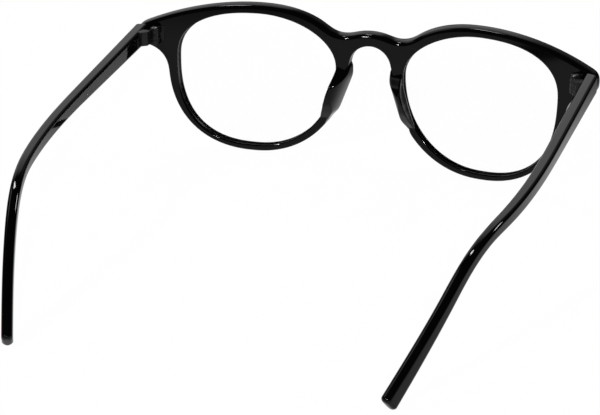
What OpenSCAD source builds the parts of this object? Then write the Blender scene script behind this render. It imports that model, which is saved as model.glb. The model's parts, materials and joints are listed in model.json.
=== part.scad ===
// Round eyeglasses with a keyhole bridge, clear lenses and folding temples.
// The front is laid out upright: X to the wearer's left, Y to the rear, Z up,
// with the height zero at the middle of the lens openings. At the end the whole
// assembly leans until the rims and the temple tips stand on one table.

/* [Front] */
// Width across the two end pieces
front_w = 137.6; // [132:0.2:146]
// Depth of the front from its face to its back
front_t = 3.6; // [3:0.1:4.6]
// Radius of the front's wrap, seen from above
wrap_r = 228; // [200:1:400]
// Width of the rim above the lens
rim_top = 2.8; // [2:0.1:4]
// Width of the rim below the lens
rim_bottom = 1.8; // [1.4:0.1:3]
// Width of the rim beside the lens, on the temple side
rim_side = 2.6; // [1.8:0.1:3.4]
// Width of the rim beside the lens, on the nose side
rim_nose = 2.8; // [2:0.1:3.4]

/* [Lens openings] */
// Width of a lens opening
lens_w = 47; // [45:0.2:49]
// Height of a lens opening
lens_h = 40.4; // [38:0.2:43]
// Height of the opening above its widest line
lens_crown = 14.2; // [12:0.1:17]
// Distance between the two lens openings
lens_gap = 20.5; // [18:0.2:23]
// Thickness of a lens
lens_t = 1.8; // [1.2:0.1:2.2]
// Depth of the groove that holds the lens
groove = 0.5; // [0.3:0.05:0.8]
// Clearance of the lens in its groove
lens_play = 0.05; // [0.03:0.01:0.1]

/* [Opening curve] */
// Fullness of the opening above, on the temple side
full_top_side = 2.4; // [2:0.05:3]
// Fullness of the opening above, on the nose side
full_top_nose = 1.9; // [1.8:0.05:2.6]
// Fullness of the opening below, on the temple side
full_low_side = 2.5; // [2:0.05:3]
// Fullness of the opening below, on the nose side
full_low_nose = 2.05; // [1.8:0.05:2.6]

/* [Bridge] */
// Height of the top of the bridge above the lens middle
bridge_top = 17.3; // [16:0.1:19]
// Radius of the crown of the bridge
bridge_r = 18; // [14:0.5:26]
// Radius of the keyhole under the bridge
keyhole_r = 6.4; // [5.4:0.1:7]
// Height of the keyhole's middle above the lens middle
keyhole_z = 6.9; // [5:0.1:8]
// Half width of the gap under the keyhole, where it is narrowest
nose_half = 5.6; // [5:0.1:6.2]
// Height above the lens middle at which the nose gap starts to flare
nose_lip_z = 4.2; // [2:0.1:4.8]
// Flare of the nose gap from upright
nose_flare = 20; // [14:0.5:24]
// Height of the lower end of the bridge's flanks, below the lens middle
flank_low = -6; // [-8:0.5:-3]
// Radius of the dips between the bridge and the brows
dip_r = 8; // [5:0.5:8]

/* [End pieces] */
// Radius of the brow's fall towards the end piece
brow_r = 84; // [65:1:95]
// Height of the lower edge of the end piece above the lens middle
end_low = 9.7; // [8:0.1:10.5]
// Radius between the end piece and the rim below it
end_fillet = 7.5; // [4:0.5:10]
// Radius of the corner of the end piece
end_corner = 1.6; // [0.8:0.1:2.4]

/* [Nose pads] */
// How far a pad stands out behind the rim
pad_out = 3.6; // [2:0.1:4.5]
// Thickness of a pad at the top of its crest
pad_t = 3; // [2:0.1:3.2]
// Height of the top of a pad above the lens middle
pad_top = 4.4; // [2:0.1:6]
// Depth of the lower end of a pad below the lens middle
pad_low = 10.5; // [8:0.1:12]
// Bond line between a pad and the rim
pad_bond = 0.05; // [0.03:0.01:0.1]

/* [Hinges] */
// Distance of the hinge pin inside the temple's inner face
pin_inset = 2.65; // [2.3:0.05:3.2]
// Distance of the hinge pin behind the front
pin_back = 2.6; // [2.3:0.05:3.2]
// Height of the middle of the hinge above the lens middle
hinge_z = 12.3; // [11.5:0.05:12.8]
// Outer diameter of the knuckles
knuckle_d = 2.6; // [2.2:0.1:3]
// Height of one knuckle
knuckle_h = 1.6; // [1.2:0.1:1.8]
// Clearance between two knuckles
knuckle_play = 0.05; // [0.03:0.01:0.1]
// Diameter of the screw's shank
screw_d = 1.2; // [1:0.05:1.4]
// Radial clearance around the shank
screw_play = 0.05; // [0.02:0.01:0.08]
// Diameter of the screw head
head_d = 2.1; // [1.8:0.1:2.4]
// Height of the screw head
head_h = 0.45; // [0.3:0.05:0.6]
// Width of the hinge leaf on the front
leaf_w = 4.6; // [4:0.1:6]
// Thickness of both hinge leaves
leaf_t = 1.1; // [0.8:0.1:1.4]
// How far a leaf stands proud of its pocket
leaf_proud = 0.3; // [0.1:0.05:0.5]
// Length of the hinge leaf on the temple
leaf_l = 8; // [6:0.5:12]
// Height of the hinge leaf on the temple
leaf_h = 3; // [2.4:0.1:3.4]
// Clearance of a leaf in its pocket
leaf_play = 0.05; // [0.03:0.01:0.1]

/* [Temples] */
// Length of a temple along its bends
temple_l = 142; // [134:0.5:152]
// Radius of the rounded tip
tip_r = 1; // [0.4:0.1:1.2]
// Height of the temple's middle line where it meets the front
temple_z = 13.1; // [12.4:0.1:13.4]
// Height of the temple at the hinge
height_hinge = 5.6; // [5:0.1:6.4]
// Height of the temple over the first third
height_shaft = 4.1; // [3.4:0.1:5]
// Height of the temple at the ear bend
height_bend = 3.5; // [3:0.1:4.6]
// Height of the temple at its tip
height_tip = 5.4; // [4:0.1:6.4]
// Thickness of the temple at the hinge
thick_hinge = 3.5; // [3:0.1:4]
// Thickness of the temple at the ear bend
thick_bend = 2.9; // [2.5:0.1:3.4]
// Radius of the temple's long edges
edge_r = 0.95; // [0.5:0.05:1.1]
// Gap between the temple's butt and the front
butt_gap = 0.15; // [0.1:0.05:0.3]

/* [Bends] */
// Fall of the temple towards the ear, from level with the front
temple_fall = 8; // [4:0.1:12]
// Toe-in of the temple, seen from above
toe_in = 0.6; // [-1:0.1:1.5]
// Distance along the temple to the start of the ear bend
bend_from = 83.5; // [70:1:95]
// Length of the ear bend
bend_l = 29.5; // [20:1:40]
// Turn of the ear bend
bend_turn = 35; // [20:1:45]
// Distance along the temple to the start of the inward bow
bow_from = 40; // [20:1:60]
// Turn of the inward bow, spread up to the tip
bow_turn = 24; // [8:1:26]

/* [Hidden] */

// Overlap that makes a cut or a join pass clean through
EPS = 0.02;
// Steps round one lens opening
CURVE_STEPS = 72;
// Steps round the wrap cylinder
WRAP_STEPS = 720;
// Edge of the front leaf beyond its knuckles
LEAF_EDGE = 0.4;
// Distance from the front to the start of the temple leaf
LEAF_START = 0.8;
// Width of the slot in the screw head
SLOT_W = 0.35;
// How far the temple's sweep starts inside the front, before it is cut
LEAD = 2;
// Steps along one temple
PATH_STEPS = 48;
// Steps round each rounded edge of a temple's section
EDGE_STEPS = 3;
// Distance of a pad's foot inside the edge of the lens opening
FOOT_INSET = 1.9;
// Foot of a nose pad: height, radius
PAD_FOOT = [[pad_top - 1.9, 1.7], [-3.4, 1.4], [1.8 - pad_low, 1.1]];
// Crest of a nose pad: distance inside the opening's edge, height, reach behind the rim, radius
PAD_CREST = [[1.3, pad_top - 1.6, pad_out, pad_t / 2], [0.4, -3.2, pad_out, pad_t * 0.48],
             [0.8, 3 - pad_low, pad_out * 0.45, pad_t * 0.34]];
// Radius of the lips where the keyhole meets the nose gap
LIP_R = 1.5;

lens_x = (lens_w + lens_gap) / 2;
widest_z = lens_h / 2 - lens_crown;
rim_low_z = -lens_h / 2 - rim_bottom;
brow_z = lens_h / 2 + rim_top;
temple_x = front_w / 2 - thick_hinge / 2;
temple_inner = front_w / 2 - thick_hinge;
pin_x = temple_inner - pin_inset;
pin_y = sag(pin_x) + pin_back;
hinge_h = 3 * knuckle_h + 2 * knuckle_play;
hinge_low = hinge_z - hinge_h / 2;
bow_l = temple_l - bow_from;
leaf_x = pin_x + knuckle_d / 2 + LEAF_EDGE - leaf_w / 2;
lens_back = (front_t - lens_t) / 2;

// How far the back of the front lies behind its middle, at distance x from it
function sag(x) = wrap_r - sqrt(wrap_r * wrap_r - x * x);
// Smooth rise from 0 to 1
function ease(u) = let (v = max(0, min(1, u))) v * v * (3 - 2 * v);
// Signed power, for the quarters of the opening's curve
function power(v, e) = sign(v) * pow(abs(v), e);

// Distance from the middle of the front to the nose side of the lens opening, at a height
// below the opening's widest line
function nose_edge(z) =
    let (drop = (widest_z - z) / (lens_h - lens_crown))
        lens_x - lens_w / 2 * pow(1 - pow(max(0, drop), full_low_nose), 1 / full_low_nose);

// The opening's curve about its own middle, grown by four margins
function opening_curve(top, low, side, nose, full) = [
    for (i = [0 : CURVE_STEPS - 1])
        let (a = 360 * i / CURVE_STEPS, c = cos(a), s = sin(a),
             e = 2 / full[(s >= 0 ? 0 : 2) + (c >= 0 ? 0 : 1)],
             half = lens_w / 2 + (c >= 0 ? side : nose),
             rise = s >= 0 ? lens_crown + top : lens_h - lens_crown + low)
            [lens_x + half * power(c, e), widest_z + rise * power(s, e)]
];
OPENING_FULL = [full_top_side, full_top_nose, full_low_side, full_low_nose];
// The rim's outer curve is fuller towards the bridge
RIM_FULL = [full_top_side, full_top_nose + 0.3, full_low_side - 0.2, full_low_nose];

module opening(grow = 0) polygon(opening_curve(grow, grow, grow, grow, OPENING_FULL));
module rim_disc() polygon(opening_curve(rim_top, rim_bottom, rim_side, rim_nose, RIM_FULL));

// Rounds the inner corners of a flat outline
module fill_corners(r) offset(r = -r) offset(delta = r) children();
// Rounds the outer corners of a flat outline
module round_corners(r) offset(r = r) offset(delta = -r) children();

// The block from the brow to the end of the front
module end_block()
    round_corners(end_corner) intersection() {
        translate([lens_x, brow_z - brow_r]) circle(r = brow_r, $fn = 240);
        translate([lens_x, end_low]) square([front_w / 2 - lens_x, brow_z]);
    }

module bridge_block()
    intersection() {
        translate([0, bridge_top - bridge_r]) circle(r = bridge_r, $fn = 120);
        translate([0, flank_low]) square([lens_gap / 2, bridge_top - flank_low]);
    }

// The space for the nose: the keyhole and the flare below it
module nose_space() {
    low = rim_low_z - 1;
    low_half = nose_half + (nose_lip_z - low) * tan(nose_flare);
    round_corners(LIP_R) fill_corners(LIP_R) {
        translate([0, keyhole_z]) circle(r = keyhole_r, $fn = 96);
        polygon([[-nose_half, nose_lip_z], [nose_half, nose_lip_z], [low_half, low], [-low_half, low]]);
        translate([-nose_half, nose_lip_z]) square([2 * nose_half, keyhole_z - nose_lip_z]);
    }
}

module both_sides() {
    children();
    mirror([1, 0]) children();
}

module front_outline()
    difference() {
        fill_corners(dip_r) both_sides() {
            fill_corners(end_fillet) {
                rim_disc();
                end_block();
            }
            bridge_block();
        }
        nose_space();
        both_sides() opening();
    }

// A flat outline in X and Z, given depth along Y
module upright(depth) translate([0, depth / 2, 0]) rotate([90, 0, 0]) linear_extrude(height = depth) children();

// A wrapped sheet, from near to far in front of the front's back
module wrap_sheet(near, far)
    translate([0, wrap_r, -60]) difference() {
        cylinder(r = wrap_r + far, h = 120, $fn = WRAP_STEPS);
        translate([0, 0, -EPS]) cylinder(r = wrap_r + near, h = 120 + 2 * EPS, $fn = WRAP_STEPS);
    }

// The place on the back of the front at distance x, with Y straight out of it
module on_back(x) translate([x, sag(x), 0]) rotate([0, 0, asin(x / wrap_r)]) children();

// Shape of the hinge leaf that is sunk in the front, grown by a clearance
module front_leaf(grow = 0)
    on_back(leaf_x) translate([-leaf_w / 2 - grow, leaf_proud - leaf_t - grow, hinge_low - grow])
        cube([leaf_w + 2 * grow, leaf_t + 2 * grow, hinge_h + 2 * grow]);

// Shape of the hinge leaf that is sunk in the temple, grown by a clearance
module temple_leaf(grow = 0)
    translate([temple_inner, sag(temple_inner), temple_z]) rotate([0, 0, toe_in]) rotate([-temple_fall, 0, 0])
        translate([-leaf_proud - grow, LEAF_START - grow, -leaf_h / 2 - grow])
            cube([leaf_t + 2 * grow, leaf_l + 2 * grow, leaf_h + 2 * grow]);

module screw_bore() translate([pin_x, pin_y, hinge_low - 1]) cylinder(d = screw_d + 2 * screw_play, h = hinge_h + 2, $fn = 32);

// One knuckle, counted from below, with its arm reaching towards a point
module knuckle(level, arm_x, arm_y) {
    base = hinge_low + level * (knuckle_h + knuckle_play);
    low_x = min(pin_x - (arm_x == 0 ? knuckle_d / 2 : 0), pin_x + arm_x);
    low_y = min(pin_y - (arm_y == 0 ? knuckle_d / 2 : 0), pin_y + arm_y);
    wide = arm_x == 0 ? knuckle_d : abs(arm_x);
    deep = arm_y == 0 ? knuckle_d : abs(arm_y);
    translate([pin_x, pin_y, base]) cylinder(d = knuckle_d, h = knuckle_h, $fn = 48);
    translate([low_x, low_y, base]) cube([wide, deep, knuckle_h]);
}

module front_hinge()
    difference() {
        union() {
            front_leaf();
            for (level = [0, 2]) knuckle(level, 0, -pin_back - leaf_proud);
        }
        screw_bore();
    }

module temple_hinge()
    difference() {
        union() {
            temple_leaf();
            knuckle(1, pin_inset - leaf_proud / 2, 0);
        }
        screw_bore();
    }

module hinge_screw()
    translate([pin_x, pin_y, hinge_low]) difference() {
        union() {
            cylinder(d = screw_d, h = hinge_h, $fn = 32);
            translate([0, 0, hinge_h]) cylinder(d = head_d, h = head_h, $fn = 32);
        }
        translate([-head_d, -SLOT_W / 2, hinge_h + head_h / 2]) cube([2 * head_d, SLOT_W, head_h]);
    }

// A point on the back of the front, at a height, some way out behind it
function behind(x, z, out) = [x, sag(x) + out, z];

module nose_pad()
    intersection() {
        translate([0, wrap_r, -60]) cylinder(r = wrap_r - pad_bond, h = 120, $fn = WRAP_STEPS);
        hull() {
            for (p = PAD_FOOT) translate(behind(nose_edge(p[0]) - FOOT_INSET, p[0], -0.5))
                rotate([-90, 0, 0]) cylinder(r = p[1], h = 1, $fn = 28);
            for (p = PAD_CREST) translate(behind(nose_edge(p[1]) - p[0], p[1], p[2] - p[3])) sphere(r = p[3], $fn = 20);
        }
    }

module lens()
    intersection() {
        upright(60) opening(groove - lens_play);
        wrap_sheet(lens_back, lens_back + lens_t);
    }

module frame_front()
    difference() {
        intersection() {
            upright(60) front_outline();
            wrap_sheet(0, front_t);
        }
        for (side = [0, 1]) mirror([side, 0, 0]) {
            intersection() {
                upright(60) opening(groove);
                wrap_sheet(lens_back - lens_play, lens_back + lens_t + lens_play);
            }
            front_leaf(leaf_play);
        }
    }

// Temple: stations along its middle line, measured from the back of the front
STATIONS = concat([for (i = [0 : PATH_STEPS]) -LEAD + (temple_l - tip_r + LEAD) * i / PATH_STEPS],
                  [for (a = [30, 60, 90]) temple_l - tip_r * (1 - sin(a))]);
function fall_at(s) = -temple_fall - bend_turn * ease((s - bend_from) / bend_l);
function bow_at(s) = -toe_in - bow_turn * ease((s - bow_from) / bow_l);
function heading(s) = let (e = fall_at(s), a = bow_at(s)) [sin(a) * cos(e), cos(a) * cos(e), sin(e)];
function outward(s) = let (a = bow_at(s)) [cos(a), -sin(a), 0];
function upward(s) = cross(outward(s), heading(s));
// Way from one station to the next, nothing past the last
function way(i) = i + 1 < len(STATIONS)
    ? (STATIONS[i + 1] - STATIONS[i]) * heading((STATIONS[i] + STATIONS[i + 1]) / 2) : [0, 0, 0];
MIDDLE = [for (i = 0, p = [temple_x, sag(temple_x), temple_z] - LEAD * heading(0);
               i < len(STATIONS); p = p + way(i), i = i + 1) p];

function height_at(s) = lookup(s / temple_l, [[0, height_hinge], [0.35, height_shaft], [0.65, height_bend], [1, height_tip]]);
function thick_at(s) = lookup(s / temple_l, [[0, thick_hinge], [0.65, thick_bend], [1, thick_bend]]);
// How far the rounded tip draws the section in
function draw_in(s) = let (v = max(0, s - temple_l + tip_r)) tip_r - sqrt(max(0, tip_r * tip_r - v * v));

// Corners of the section, as the signs of its width and height
CORNERS = [[1, 1], [-1, 1], [-1, -1], [1, -1]];
function section(i) = let (s = STATIONS[i], in = draw_in(s), r = max(0.1, edge_r - in),
                           half_w = thick_at(s) / 2 - in - r, half_h = height_at(s) / 2 - in - r)
    [for (k = [0 : 3], j = [0 : EDGE_STEPS])
        let (a = 90 * (k + j / EDGE_STEPS))
            MIDDLE[i] + outward(s) * (CORNERS[k][0] * half_w + r * cos(a))
                      + upward(s) * (CORNERS[k][1] * half_h + r * sin(a))];

module temple_sweep() {
    around = 4 * (EDGE_STEPS + 1);
    rings = len(STATIONS);
    points = [for (i = [0 : rings - 1]) each section(i)];
    walls = [for (i = [0 : rings - 2], j = [0 : around - 1])
        let (a = i * around + j, b = i * around + (j + 1) % around)
            each [[a, b, b + around], [a, b + around, a + around]]];
    polyhedron(points, concat(walls, [[for (j = [around - 1 : -1 : 0]) j]],
                              [[for (j = [0 : around - 1]) (rings - 1) * around + j]]), convexity = 6);
}

module temple()
    difference() {
        intersection() {
            temple_sweep();
            translate([0, wrap_r, -60]) cylinder(r = wrap_r - butt_gap, h = 120, $fn = WRAP_STEPS);
        }
        temple_leaf(leaf_play);
    }

// The rim and the tip touch the table at these points of the upright assembly
rim_foot = [0, sag(lens_x) - front_t, rim_low_z];
tip_half = height_tip / 2 - tip_r;
tip_foot = MIDDLE[PATH_STEPS] - upward(temple_l) * tip_half - [0, 0, tip_r];
lean = atan((rim_foot[2] - tip_foot[2]) / (tip_foot[1] - rim_foot[1]));
// Front and rear of the leaning assembly
y_front = -front_t * cos(lean) - bridge_top * sin(lean);
tip_back = MIDDLE[PATH_STEPS] + upward(temple_l) * tip_half + outward(temple_l) * (thick_bend / 2 - tip_r);
y_rear = tip_back[1] * cos(lean) - tip_back[2] * sin(lean) + tip_r;
stand_y = -(y_front + y_rear) / 2;
stand_z = -rim_foot[1] * sin(lean) - rim_foot[2] * cos(lean);

module stand() translate([0, stand_y, stand_z]) rotate([lean, 0, 0]) children();
module other_side() mirror([1, 0, 0]) children();

module frame_black() color([0.03, 0.03, 0.03]) children();
module hinge_black() color([0.12, 0.12, 0.13]) children();
module clear() color([0.85, 0.92, 0.95, 0.35]) children();

stand() frame_black() frame_front();
stand() clear() lens();  // lens_left
stand() clear() other_side() lens();  // lens_right
stand() frame_black() nose_pad();  // nose_pad_left
stand() frame_black() other_side() nose_pad();  // nose_pad_right
stand() hinge_black() front_hinge();  // front_hinge_left
stand() hinge_black() other_side() front_hinge();  // front_hinge_right
stand() hinge_black() temple_hinge();  // temple_hinge_left
stand() hinge_black() other_side() temple_hinge();  // temple_hinge_right
stand() hinge_black() hinge_screw();  // hinge_screw_left
stand() hinge_black() other_side() hinge_screw();  // hinge_screw_right
stand() frame_black() temple();  // temple_left
stand() frame_black() other_side() temple();  // temple_right
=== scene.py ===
"""Round eyeglasses with a keyhole bridge: looks, studio and camera.

Sizes in the classes are millimetres in the upright frame of the front: X to the wearer's
left, Y to the rear with zero at the back of the front, Z up with zero at the middle of the
lens openings. Stance turns them into the metres of the standing glasses.
"""
import json
import logging
import math
from dataclasses import dataclass, field
from enum import Enum
from typing import Any, Optional, Sequence

import bmesh
import bpy
import numpy as np
from mathutils import Matrix, Vector
from mathutils.geometry import delaunay_2d_cdt

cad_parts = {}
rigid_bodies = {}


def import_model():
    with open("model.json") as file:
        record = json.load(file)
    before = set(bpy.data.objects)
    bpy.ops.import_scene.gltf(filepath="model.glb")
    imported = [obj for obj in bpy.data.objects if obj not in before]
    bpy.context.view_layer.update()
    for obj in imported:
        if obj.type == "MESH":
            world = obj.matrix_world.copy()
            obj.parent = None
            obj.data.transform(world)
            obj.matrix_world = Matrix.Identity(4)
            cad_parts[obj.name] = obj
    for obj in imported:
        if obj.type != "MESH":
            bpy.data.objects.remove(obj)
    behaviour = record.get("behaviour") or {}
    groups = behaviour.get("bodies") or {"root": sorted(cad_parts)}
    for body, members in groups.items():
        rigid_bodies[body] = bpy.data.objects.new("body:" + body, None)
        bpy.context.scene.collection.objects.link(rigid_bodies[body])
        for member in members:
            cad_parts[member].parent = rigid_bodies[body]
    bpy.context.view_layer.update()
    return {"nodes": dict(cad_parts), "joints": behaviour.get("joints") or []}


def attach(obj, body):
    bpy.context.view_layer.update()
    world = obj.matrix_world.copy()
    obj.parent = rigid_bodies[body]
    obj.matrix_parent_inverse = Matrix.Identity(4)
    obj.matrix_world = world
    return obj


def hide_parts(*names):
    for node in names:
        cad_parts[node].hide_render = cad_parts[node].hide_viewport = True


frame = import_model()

log = logging.getLogger("glasses")
Array = np.ndarray
Socket = bpy.types.NodeSocket
Pair = tuple[float, float]
Triple = tuple[float, float, float]
Quad = tuple[float, float, float, float]
RIGHT_ANGLE = math.pi / 2
# A shorter vector is scaled as if it were this long
TINY = 1e-12
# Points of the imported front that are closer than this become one, in metres
WELD = 2e-6
# Points of a temple that are closer than this become one, in millimetres
MERGE = 0.0005
# Smaller edges and faces of a temple are dissolved, in metres
MELT = 1e-8
# Flat points that are closer than this are one corner of the triangles between them
CLOSE = 1e-7
# A step of a loop that rises less counts as level
LEVEL = 1e-9
# Step of a loop while it is smoothed
FINE = 0.1


class Side(Enum):
    """A half of the glasses, by the wearer's side; the value is the sign of X."""

    LEFT = 1
    RIGHT = -1

    @property
    def word(self) -> str:
        """The side as it stands in node and body names."""
        return self.name.lower()


class Face(Enum):
    """A face of a wrapped sheet; the value is the sign of its normal along Y."""

    REAR = 1
    FRONT = -1


# Shared sizes


@dataclass(frozen=True)
class Wrap:
    """The cylinder that the front is bent round.

    Attributes:
        radius: Radius of the back of the front.
        depth: Depth of the front from its face to its back.
    """

    radius: float = 228.0
    depth: float = 3.6

    def y(self, x: Any, depth: Any = 0.0) -> Any:
        """Y at distance x from the middle and at a depth in front of the back of the front."""
        r = self.radius + np.asarray(depth)
        return self.radius - np.sqrt(r * r - np.square(x))

    def normal(self, x: Array, face: Face) -> Array:
        """Outward normals of one face.

        Args:
            x: Distances from the middle.
            face: The face that is meant.

        Returns:
            One unit normal for each distance.
        """
        across = -x / (self.radius + (self.depth if face is Face.FRONT else 0.0))
        normals = np.stack([across, np.sqrt(1 - across**2), np.zeros_like(across)], axis=1)
        return normals * face.value


@dataclass(frozen=True)
class Stance:
    """How the upright glasses stand on their rims and temple tips.

    Attributes:
        lean: Lean of the front, in radians.
        shift: Move from the upright to the standing place, in millimetres.
    """

    lean: float
    shift: Triple = (0.0, 0.0, 0.0)

    @classmethod
    def from_pin(cls, joint: dict[str, Any], pin: Sequence[float]) -> "Stance":
        """Reads the stance off the left hinge pin.

        Args:
            joint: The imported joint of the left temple.
            pin: The pin's place in the upright frame.

        Returns:
            The stance that brings the pin to its packed place.
        """
        axis, place = joint["axis"], joint["pos_m"]
        lean = math.atan2(-axis[1], axis[2])
        turned = cls(lean).turn(np.array([pin], float))[0]
        return cls(lean, (0.0, 1000.0 * place[1] - turned[1], 1000.0 * place[2] - turned[2]))

    def turn(self, vectors: Array) -> Array:
        """Leans vectors about X."""
        c, s = math.cos(self.lean), math.sin(self.lean)
        return vectors @ np.array([[1, 0, 0], [0, c, s], [0, -s, c]])

    def place(self, points: Array) -> Array:
        """Brings upright millimetres to standing metres."""
        return (self.turn(points) + np.array(self.shift)) / 1000.0

    def unplace(self, points: Array) -> Array:
        """Brings standing metres back to upright millimetres."""
        return Stance(-self.lean).turn(points * 1000.0 - np.array(self.shift))

    def stand(self, mesh: bpy.types.Mesh) -> None:
        """Brings a mesh from upright millimetres to its standing place."""
        points = np.array([v.co for v in mesh.vertices], float)
        mesh.vertices.foreach_set("co", self.place(points).astype(np.float32).ravel())


@dataclass
class SidePart:
    """What every piece of one side is built from.

    Attributes:
        wrap: The front's wrap.
        stance: Where the glasses stand.
        side: The wearer's side.
    """

    wrap: Wrap
    stance: Stance
    side: Side


# Lines and loops


def unit(vectors: Array) -> Array:
    """Brings vectors to length one."""
    return vectors / np.maximum(np.linalg.norm(vectors, axis=1, keepdims=True), TINY)


def ease(u: Any) -> Any:
    """Smooth rise from 0 to 1."""
    v = np.clip(u, 0, 1)
    return v * v * (3 - 2 * v)


def arc(start: float, end: float, count: int) -> Array:
    """Points of the unit circle between two angles."""
    turns = np.linspace(start, end, count)
    return np.stack([np.cos(turns), np.sin(turns)], axis=1)


def lengths(path: Array) -> Array:
    """Distance along a path to each of its points."""
    return np.r_[0, np.cumsum(np.linalg.norm(np.diff(path, axis=0), axis=1))]


def picked(at: Array, along: Array, path: Array) -> Array:
    """Points of a path at some distances along it."""
    return np.stack([np.interp(at, along, column) for column in path.T], axis=1)


def outward(loop: Array) -> Array:
    """Unit normals of a counter-clockwise loop, pointing out of it."""
    way = np.roll(loop, -1, axis=0) - np.roll(loop, 1, axis=0)
    return unit(np.stack([way[:, 1], -way[:, 0]], axis=1))


def inside(loops: Sequence[Array], points: Array) -> Array:
    """Tells which points lie inside a flat shape.

    Args:
        loops: Its outer loop and the loops of its holes.
        points: Points to test.

    Returns:
        One truth value for each point.
    """
    x, z = points.T
    hit = np.zeros(len(points), bool)
    for loop in loops:
        for (x1, z1), (x2, z2) in zip(loop, np.roll(loop, -1, axis=0)):
            if z1 != z2:
                cross = (z1 > z) != (z2 > z)
                hit ^= cross & (x < (x2 - x1) * (z - z1) / (z2 - z1) + x1)
    return hit


def nearest(points: Array, others: Array, batch: int = 400) -> Array:
    """Distance from each point to the nearest of some others.

    Args:
        points: Points to measure from.
        others: Points to measure to.
        batch: How many points are measured at once.

    Returns:
        One distance for each point.
    """
    found = []
    for start in range(0, len(points), batch):
        gap = points[start : start + batch, None, :] - others[None, :, :]
        found.append(np.sqrt(np.square(gap).sum(axis=2).min(axis=1)))
    return np.concatenate(found)


def smoothed(values: Array, width: float, step: float) -> Array:
    """Smooths values round a closed loop.

    Args:
        values: One row for each point of the loop.
        width: Width of the smoothing.
        step: Distance between two points of the loop.

    Returns:
        The smoothed values.
    """
    reach = int(math.ceil(3 * width / step))
    total, weight = np.zeros_like(values, dtype=float), 0.0
    for k in range(-reach, reach + 1):
        share = math.exp(-0.5 * (k * step / width) ** 2)
        total += share * np.roll(values, k, axis=0)
        weight += share
    return total / weight


def even_loop(corners: Array, spacing: float, width: float) -> Array:
    """Turns a chain of corners into an even, smooth closed loop, counter-clockwise.

    Args:
        corners: Corners of the closed outline.
        spacing: Distance between two points of the result.
        width: Width of the smoothing.

    Returns:
        The points of the loop.
    """
    closed = np.vstack([corners, corners[:1]])
    along = lengths(closed)
    fine = int(round(along[-1] / FINE))
    dense = picked(np.linspace(0, along[-1], fine, endpoint=False), along, closed)
    dense = smoothed(dense, width, along[-1] / fine)
    at = np.linspace(0, fine, int(round(along[-1] / spacing)), endpoint=False)
    loop = picked(at, np.arange(fine + 1), np.vstack([dense, dense[:1]]))
    after = np.roll(loop, -1, axis=0)
    area = np.sum(loop[:, 0] * after[:, 1] - after[:, 0] * loop[:, 1])
    return loop if area > 0 else loop[::-1].copy()


# Meshes


def linked(name: str, data: bpy.types.ID) -> bpy.types.Object:
    """Puts a mesh, a lamp or a camera in the scene.

    Args:
        name: Name of the object.
        data: What the object shows.

    Returns:
        The new object, at the origin.
    """
    made = bpy.data.objects.new(name, data)
    bpy.context.scene.collection.objects.link(made)
    return made


def set_normals(mesh: bpy.types.Mesh, normals: Array) -> None:
    """Shades a mesh smooth, with one normal for each of its points."""
    mesh.shade_smooth()
    mesh.normals_split_custom_set_from_vertices(unit(normals).tolist())


def area_normals(mesh: bpy.types.Mesh) -> None:
    """Gives a mesh normals weighted by area, so that flats stay flat.

    Args:
        mesh: The mesh.
    """
    total = np.zeros((len(mesh.vertices), 3))
    for poly in mesh.polygons:
        weight = np.array(poly.normal) * poly.area
        for v in poly.vertices:
            total[v] += weight
    set_normals(mesh, total)


def turn_outward(mesh: bpy.types.Mesh, melt: float = 0.0) -> None:
    """Turns the faces of a closed mesh outward.

    Args:
        mesh: The mesh.
        melt: Size below which its edges and faces are melted first.
    """
    work = bmesh.new()
    work.from_mesh(mesh)
    if melt:
        bmesh.ops.dissolve_degenerate(work, dist=melt, edges=work.edges)
    bmesh.ops.recalc_face_normals(work, faces=work.faces)
    if work.calc_volume(signed=True) < 0:
        bmesh.ops.reverse_faces(work, faces=work.faces)
    work.to_mesh(mesh)
    work.free()
    mesh.update()


@dataclass
class Solid:
    """Points, faces and normals of a piece while it is being built.

    Attributes:
        points: Blocks of points.
        normals: Blocks of normals, for all points or for none; without them, flats stay flat.
        faces: Faces as tuples of point numbers.
        inks: Material numbers of the faces that don't have the first material.
        count: How many points there are.
    """

    points: list[Array] = field(default_factory=list)
    normals: list[Array] = field(default_factory=list)
    faces: list[tuple[int, ...]] = field(default_factory=list)
    inks: dict[int, int] = field(default_factory=dict)
    count: int = 0

    def add(self, points: Array, normals: Optional[Array] = None) -> Array:
        """Adds a block of points.

        Args:
            points: The points, in millimetres.
            normals: Their normals.

        Returns:
            The numbers of the new points.
        """
        self.points.append(points)
        if normals is not None:
            self.normals.append(normals)
        self.count += len(points)
        return np.arange(self.count - len(points), self.count)

    def band(self, a: Array, b: Array, ink: Optional[Array] = None) -> None:
        """Joins two closed rings of equal length with quads.

        Args:
            a: Numbers of the first ring's points.
            b: Numbers of the second ring's points.
            ink: Which of the quads have the second material.
        """
        first = len(self.faces)
        quads = np.stack([a, np.roll(a, -1), np.roll(b, -1), b], axis=1)
        self.faces.extend(map(tuple, quads.tolist()))
        if ink is not None:
            self.inks.update({first + int(k): 1 for k in np.flatnonzero(ink)})

    def build(self, name: str, stance: Stance, side: Side = Side.LEFT) -> bpy.types.Object:
        """Makes the object, with its place in its mesh and its faces outward.

        Args:
            name: Name of the piece.
            stance: Where the glasses stand.
            side: The side that it is for, when it was drawn on the left.

        Returns:
            The new object.
        """
        flip = np.array([side.value, 1, 1])
        mesh = bpy.data.meshes.new(name)
        mesh.from_pydata(stance.place(np.concatenate(self.points) * flip).tolist(), [], self.faces)
        for face, ink in self.inks.items():
            mesh.polygons[face].material_index = ink
        turn_outward(mesh)
        if self.normals:
            set_normals(mesh, stance.turn(np.concatenate(self.normals) * flip))
        else:
            area_normals(mesh)
        return linked(name, mesh)


# Node trees


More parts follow.
